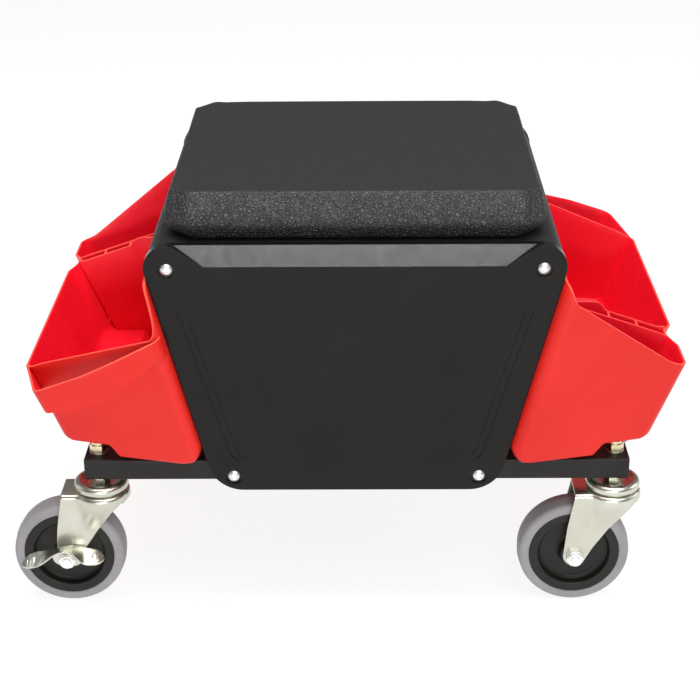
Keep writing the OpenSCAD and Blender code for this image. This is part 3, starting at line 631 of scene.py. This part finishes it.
def make_bin(name, node, place, reds):
    """The wall and floor stand in for the CAD bin; the holster, plates and ribs are sheets of their own."""
    walls = object_of(name, *bin_wall_mesh(), place)
    join_faces(walls)
    # The wall's rim faces take the painted-highlight red and its inner faces the painted-light red.
    thicken(walls, BIN_T, rim_slot=1, inner_slot=2)
    soften(walls, 0.95, 3, 50)
    finish_piece(walls, "seat_unit", reds, [node], 32)
    # Plates and ribs: the painted-light inside red on their faces, the painted-highlight red on their edges.
    inner = [reds[2], reds[1], reds[2]]
    parts = [(name + "_holster", holster_mesh(), 3.0, -1.0, [reds[2], reds[1], reds[0]])]
    for i, y in enumerate(PLATES):
        parts.append((f"{name}_plate_{i + 1}", sheet_mesh(plate_top(y, i == 1), True), 2.5, 0.0, inner))
    for i, x in enumerate(RIBS):
        top = [(x, y, float(rim_z(x, False)) - 0.6) for y in np.linspace(PLATES[0], PLATES[1], 4)]
        parts.append((f"{name}_rib_{i + 1}", sheet_mesh(top, False), 2.6, 0.0, inner))
    for part_name, mesh, thickness, offset, mats in parts:
        part = object_of(part_name, *mesh, place)
        thicken(part, thickness, offset, rim_slot=1, inner_slot=2)
        soften(part, 0.95, 3, 50)
        finish_piece(part, "seat_unit", mats, [], 32)


# ---------- seat pad ----------

PAD_HALF, PAD_CHAMFER, PAD_CORNER_R = 200, 26, 7
FOLD_Z, FOLD_INSET, TOP_INSET, SIDE_SLOPE = 459.3, 1.8, 34.5, 4.6


def pad_ring(half_x, half_y, chamfer):
    kx, ky = half_x - chamfer, half_y - chamfer
    octagon = [(kx, -half_y), (half_x, -ky), (half_x, ky), (kx, half_y),
               (-kx, half_y), (-half_x, ky), (-half_x, -ky), (-kx, -half_y)]
    return rounded([(x, y, PAD_CORNER_R, cuts) for (x, y), cuts in zip(octagon, [3, 38] * 4)], 5)


def pad_mesh():
    """Foot, fold and top as rounded octagons; the upper slope is wide at the ends, steep at the sides."""
    low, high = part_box("seat_pad")
    foot, top = low.z / MM + 0.4, high.z / MM - 0.6
    profile = [(30, foot, 1, 1), (9.5, foot, 2, 2), (0.3, 455.3, 2.5, 0), (FOLD_INSET, FOLD_Z, 2.5, 8),
               (TOP_INSET, top, 4, 4), (70, top, 1, 0)]
    side = rounded(profile, 4, closed=False)
    vertices = []
    for inset, z in side:
        up = np.clip((z - FOLD_Z) / (top - FOLD_Z), 0, 1)
        steep = inset if z < FOLD_Z else FOLD_INSET + SIDE_SLOPE * up + max(0, inset - TOP_INSET) * 0.9
        ring = pad_ring(PAD_HALF - steep, PAD_HALF - inset, PAD_CHAMFER - 0.2 * min(inset, 20))
        vertices += [(x, y, z) for x, y in ring]
    count = len(ring)
    faces = grid_faces(len(side), count, closed=True)
    faces.append(tuple(range(count - 1, -1, -1)))
    faces.append(tuple((len(side) - 1) * count + i for i in range(count)))
    return vertices, faces


def inflate(piece, voxel, cap, frames=20):
    """Swells a closed form with cloth under pressure, no point moving past the cap, and applies it."""
    bpy.context.view_layer.objects.active = piece
    remesh = piece.modifiers.new("remesh", "REMESH")
    remesh.mode = "VOXEL"
    remesh.voxel_size = voxel * MM
    bpy.ops.object.modifier_apply(modifier=remesh.name)
    rest = np.array([v.co for v in piece.data.vertices])
    cloth = piece.modifiers.new("cloth", "CLOTH")
    cloth.settings.use_pressure = True
    cloth.settings.uniform_pressure_force = 4
    cloth.settings.effector_weights.gravity = 0
    for frame_number in range(1, frames + 1):
        bpy.context.scene.frame_set(frame_number)
    swollen = piece.evaluated_get(bpy.context.evaluated_depsgraph_get())
    moved = np.array([v.co for v in swollen.data.vertices])
    piece.modifiers.remove(cloth)
    bpy.context.scene.frame_set(1)
    step = moved - rest
    length = np.linalg.norm(step, axis=1)[:, None]
    step *= np.minimum(1, cap * MM / np.maximum(length, 1e-9))
    floor = rest[:, 2].min()
    final = rest + step
    final[:, 2] = np.maximum(final[:, 2], floor)
    piece.data.vertices.foreach_set("co", final.astype(np.float32).ravel())
    piece.data.update()
    relax = piece.modifiers.new("relax", "SMOOTH")
    relax.factor = 0.4
    relax.iterations = 1
    bpy.ops.object.modifier_apply(modifier=relax.name)
    rounder = piece.modifiers.new("rounder", "SUBSURF")
    rounder.levels = rounder.render_levels = 1


def make_pad():
    pad = object_of("pad", *pad_mesh())
    inflate(pad, 3.0, 0.9)
    finish_piece(pad, "seat_unit", [MATERIALS["pad_skin"]], ["seat_pad"], 60)


# ---------- castors ----------

CROWN_R, CROWN_Z, LEG_Y, AXLE_Z, TRAIL = 31.5, 140.6, 21.5, 62.5, 40.0
SHEET_T, BEND_R = 2.5, 5.0
BEND_ANGLES = (80, 60, 40, 20)
STEM = {"front_left": (-283, -177, 0), "front_right": (283, -177, 0),
        "rear_left": (-283, 177, 180), "rear_right": (283, 177, 180)}


def castor_place(corner):
    x, y, turn = STEM[corner]
    return Matrix.Translation((x * MM, y * MM, 0)) @ Matrix.Rotation(math.radians(turn), 4, "Z")


def bulge(x, z):
    """How far out the fork's skin lies: flat at the foot, round with the crown at the top."""
    start_z, rise = 92, 40
    circle = math.sqrt(max(CROWN_R ** 2 - x * x, 0))
    full = max(LEG_Y, circle) if x < 0 else circle
    k = min(1, max(0, (z - start_z) / rise))
    k = k * k * (3 - 2 * k)
    return LEG_Y + (full - LEG_Y) * k


def leg_edges():
    """The two edges of a leg from the crown's bend down, and the round foot between them."""
    foot_r = 12.7
    bend = CROWN_Z - BEND_R
    left = [(-43, bend), (-46.3, 118), (-49.7, 97.4), (-52.6, 63.8)]
    right = [(28.5, bend), (24.5, 132.5), (19, 127.5), (12.9, 122.5), (4, 110),
             (-4.6, 97.3), (-20.6, 72.9), (-30.4, 54.2)]
    foot = arc(-TRAIL, AXLE_Z, foot_r, 174, 319, 16)
    return left, right, foot


def along(line, k):
    """The point at share k of a line's length."""
    pts = np.array(line)
    steps = np.concatenate([[0], np.cumsum(np.linalg.norm(np.diff(pts, axis=0), axis=1))])
    return np.array([np.interp(k * steps[-1], steps, pts[:, i]) for i in range(2)])


def leg_patch(columns=25, rows=26):
    """Points in side view that blend a leg's four edges."""
    left, right, foot = leg_edges()
    top = [left[0], right[0]]
    grid = []
    for r in range(rows):
        v = r / (rows - 1)
        line = []
        for c in range(columns):
            u = c / (columns - 1)
            a, b = along(left, v), along(right, v)
            t, f = along(top, u), along(foot, u)
            corners = ((1 - u) * (1 - v) * np.array(left[0]) + u * (1 - v) * np.array(right[0])
                       + (1 - u) * v * np.array(left[-1]) + u * v * np.array(right[-1]))
            line.append((1 - u) * a + u * b + (1 - v) * t + v * f - corners)
        grid.append(line)
    return grid


def fork_mesh():
    """Both legs, each bent over into the crown at its top."""
    vertices, faces = [], []
    grid = leg_patch()
    columns = len(grid[0])
    for side in (-1, 1):
        base = len(vertices)
        for angle in BEND_ANGLES:
            a = math.radians(angle)
            for x, z in grid[0]:
                y = bulge(x, z) - BEND_R * (1 - math.cos(a))
                vertices.append((x, side * y, z + BEND_R * math.sin(a)))
        for line in grid:
            vertices += [(x, side * bulge(x, z), z) for x, z in line]
        patch = grid_faces(len(BEND_ANGLES) + len(grid), columns, base=base)
        faces += patch if side > 0 else [tuple(reversed(f)) for f in patch]
    return vertices, faces


def crown_outline():
    """Plan of the crown plate inside its bend: a tongue over the wheel and a disc round the stem."""
    inner, flat = CROWN_R - 4.2, LEG_Y - 4.2
    meet = math.degrees(math.acos(-math.sqrt(inner ** 2 - flat ** 2) / inner))
    return [(-43, -flat)] + [tuple(p) for p in arc(0, 0, inner, -meet, meet, 48)] + [(-43, flat)]


def crown_mesh():
    """The crown plate, with the hole for the stem."""
    flat, tiles = plate_with_hole(crown_outline(), 6.7, 24)
    return [(p.x, p.y, CROWN_Z) for p in flat], tiles


def skirt_mesh():
    """The rolled edge of the crown in front, between the two legs."""
    reach = math.degrees(math.asin(17.5 / CROWN_R))
    angles = np.linspace(-reach - 4, reach + 4, 25)
    vertices = []
    bends = (*BEND_ANGLES, 0)
    drops = (2.5, 5.5)
    for a in bends:
        r = CROWN_R - BEND_R * (1 - math.cos(math.radians(a)))
        z = CROWN_Z - BEND_R + BEND_R * math.sin(math.radians(a))
        vertices += [(r * math.cos(math.radians(t)), r * math.sin(math.radians(t)), z) for t in angles]
    for drop in drops:
        for t in angles:
            edge = abs(t) / reach
            vertices.append((CROWN_R * math.cos(math.radians(t)), CROWN_R * math.sin(math.radians(t)),
                             CROWN_Z - BEND_R - drop * (0.6 + 0.5 * min(edge, 1) ** 2)))
    return vertices, [tuple(reversed(f)) for f in grid_faces(len(bends) + len(drops), len(angles))]


def make_fork(corner, mat):
    place = castor_place(corner)
    body = corner + "_swivel"
    for name, mesh, nodes in ((corner + "_fork_legs", fork_mesh(), [corner + "_fork"]),
                              (corner + "_fork_crown", crown_mesh(), []),
                              (corner + "_fork_skirt", skirt_mesh(), [])):
        piece = object_of(name, *mesh, place)
        thicken(piece, SHEET_T)
        soften(piece, 0.6, 2, 50)
        finish_piece(piece, body, [mat], nodes, 40)


# The pedal's sheet seen from the front: its edge by the fork and its outer edge, from the axle
PEDAL_LEFT, PEDAL_RIGHT, PEDAL_W = -50, 42, 18.0
PEDAL_BACK = [(-50, -3), (-45, 2.8), (-35, 7.6), (-16, 10.6), (-6, 14), (4, 15.6), (12, 15),
              (22, 12.6), (32, 11), (38, 7.2), (42, 4)]
PEDAL_FRONT = [(-50, -3), (-45, -2.8), (-34, -1.4), (-27, 2), (-23, 5.2), (-16, 11.2), (-8, 16.4),
               (0, 17.8), (7, 16), (12.7, 10.3), (17, 4.6), (21, 1.8), (28, 1.1), (38, 2.6), (42, 4)]
# The raised bars across its two ends
PEDAL_BARS = (-44, -40.5, -37, 29, 32.5, 36)


def eased(line, x, spread=3.0):
    xs, ys = zip(*line)
    return float(np.interp(x + np.linspace(-spread, spread, 9), xs, ys).mean())


def pedal_mesh():
    """The curved sheet that is stepped on, with round ends and raised bars."""
    columns, rows = 93, 15
    tip_r, near, bar_h, bar_half_w = 9.5, LEG_Y + 1.6, 0.55, 0.75
    vertices = []
    for r in range(rows):
        for c in range(columns):
            x = PEDAL_LEFT + (PEDAL_RIGHT - PEDAL_LEFT) * c / (columns - 1)
            into = min(x - PEDAL_LEFT, PEDAL_RIGHT - x)
            half = PEDAL_W / 2
            if into <= tip_r:
                half *= math.sqrt(max(1 - (1 - into / tip_r) ** 2, 0.02))
            share = (r / (rows - 1) - 0.5) * 2 * half / PEDAL_W + 0.5
            low, high = eased(PEDAL_BACK, x), eased(PEDAL_FRONT, x)
            z = low + (high - low) * share
            for bar in PEDAL_BARS:
                z += bar_h * math.exp(-((x - bar) / bar_half_w) ** 2) * math.exp(-((share - 0.5) / 0.26) ** 4)
            vertices.append((x - TRAIL, -near - PEDAL_W * share, AXLE_Z + z))
    return vertices, [tuple(reversed(f)) for f in grid_faces(rows, columns)]


def pedal_plate_mesh():
    """The pedal's own plate on the axle, with the neck that carries the sheet."""
    edge = [(17.2 * math.cos(math.radians(a)), 11.5 * math.sin(math.radians(a))) for a in range(152, 389, 6)]
    edge += [(10, 9), (9.5, 14.6), (-9, 12.8), (-9.5, 8)]
    flat, tiles = plate_with_hole(edge, 5.15, 32)
    return [(p.x - TRAIL, -LEG_Y - 0.3, AXLE_Z + p.y) for p in flat], tiles


def make_pedal(corner, mat):
    place = castor_place(corner)
    for name, mesh, thickness, offset, nodes in (
            (corner + "_pedal", pedal_mesh(), 1.8, 0.0, [corner + "_brake_lever"]),
            (corner + "_pedal_plate", pedal_plate_mesh(), 1.8, 1.0, [])):
        piece = object_of(name, *mesh, place)
        thicken(piece, thickness, offset)
        soften(piece, 0.45, 2, 50)
        finish_piece(piece, corner + "_brake", [mat], nodes, 40)


# ---------- the rest ----------

def surface_of(node):
    if node == "body_shell":
        return "shell_plastic"
    if node.endswith("_cover"):
        return "black_plastic"
    if node == "tube_end_caps":
        return "cap_plastic"
    if node == "seat_board":
        return "plywood"
    if node in ("rivet_nuts", "seat_tee_nuts", "stem_nuts"):
        return "yellow_zinc"
    if node.endswith("_core"):
        return "wheel_core"
    if node.endswith("_tyre"):
        return "tyre_rubber"
    if node.endswith(("_tube", "_rail", "_upright")):
        return "frame_paint"
    if "bolt" in node or "screws" in node or node.endswith(("axle_nut", "sleeve", "balls")):
        return "bright_zinc"
    return "zinc_steel"


EDGES = {"front_cover": 0.9, "rear_cover": 0.9, "body_shell": 0.5, "tube_end_caps": 0.5, "race_caps": 0.5}


def dress_cad(node, piece):
    """Gives a CAD node its material, joins its split faces and softens its edges."""
    piece.data.materials.clear()
    piece.data.materials.append(MATERIALS[surface_of(node)])
    for face in piece.data.polygons:
        face.use_smooth = True
        face.material_index = 0
    weld = piece.modifiers.new("join", "WELD")
    weld.merge_threshold = 0.00001
    flatten = piece.modifiers.new("flatten", "DECIMATE")
    flatten.decimate_type = "DISSOLVE"
    flatten.angle_limit = math.radians(0.5)
    width = EDGES.get(node, 0.3)
    if node.endswith(("_core", "_tyre")):
        width = 0.6
    soften(piece, width, 3 if width > 0.5 else 2, 24)
    piece.modifiers.new("normals", "WEIGHTED_NORMAL")


MATERIALS = {
    "black_plastic": black_plastic(), "shell_plastic": shell_plastic(), "pad_skin": pad_skin(),
    "red_plastic": red_plastic("red_plastic", (0.60, 0.0110, 0.0080), (0.68, 0.0165, 0.0105)),
    # A lighter, bluer copy of the red for the bins' inner faces, plates, ribs and holster: its extra
    # lightness is painted light that lifts these faces out of their shade.
    "red_inside_painted_light": red_plastic("red_inside_painted_light", (0.74, 0.0040, 0.0190), (0.81, 0.0080, 0.0240)),
    # A lighter, more orange copy of the red for the rim faces that solidify makes on walls and sheets:
    # painted highlight along the rounded rims.
    "red_rim_painted_highlight": red_plastic("red_rim_painted_highlight", (0.93, 0.070, 0.045), (0.98, 0.105, 0.065)),
    "frame_paint": frame_paint(), "cap_plastic": cap_plastic(),
    "zinc_steel": zinc("zinc_steel", (0.54, 0.54, 0.45), (0.66, 0.66, 0.58), 0.26, 0.36, 0.07),
    "bright_zinc": zinc("bright_zinc", (0.80, 0.80, 0.79), (0.90, 0.90, 0.89), 0.40, 0.48, 0.01),
    "yellow_zinc": zinc("yellow_zinc", (0.62, 0.54, 0.32), (0.80, 0.74, 0.52), 0.20, 0.32, 0.04),
    "wheel_core": wheel_core(), "tyre_rubber": tyre_rubber(), "plywood": plywood(),
}

make_camera()
make_studio()
make_floor()
make_pad()
# Outer red, the painted-highlight copy for rims and the painted-light copy for the insides, by material slot.
reds = [MATERIALS["red_plastic"], MATERIALS["red_rim_painted_highlight"], MATERIALS["red_inside_painted_light"]]
make_bin("tool_bin_right", "right_bin", None, reds)
make_bin("tool_bin_left", "left_bin", HALF_TURN, reds)
for corner in STEM:
    make_fork(corner, MATERIALS["zinc_steel"])
for corner in ("front_left", "rear_right"):
    make_pedal(corner, MATERIALS["zinc_steel"])
for node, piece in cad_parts.items():
    dress_cad(node, piece)
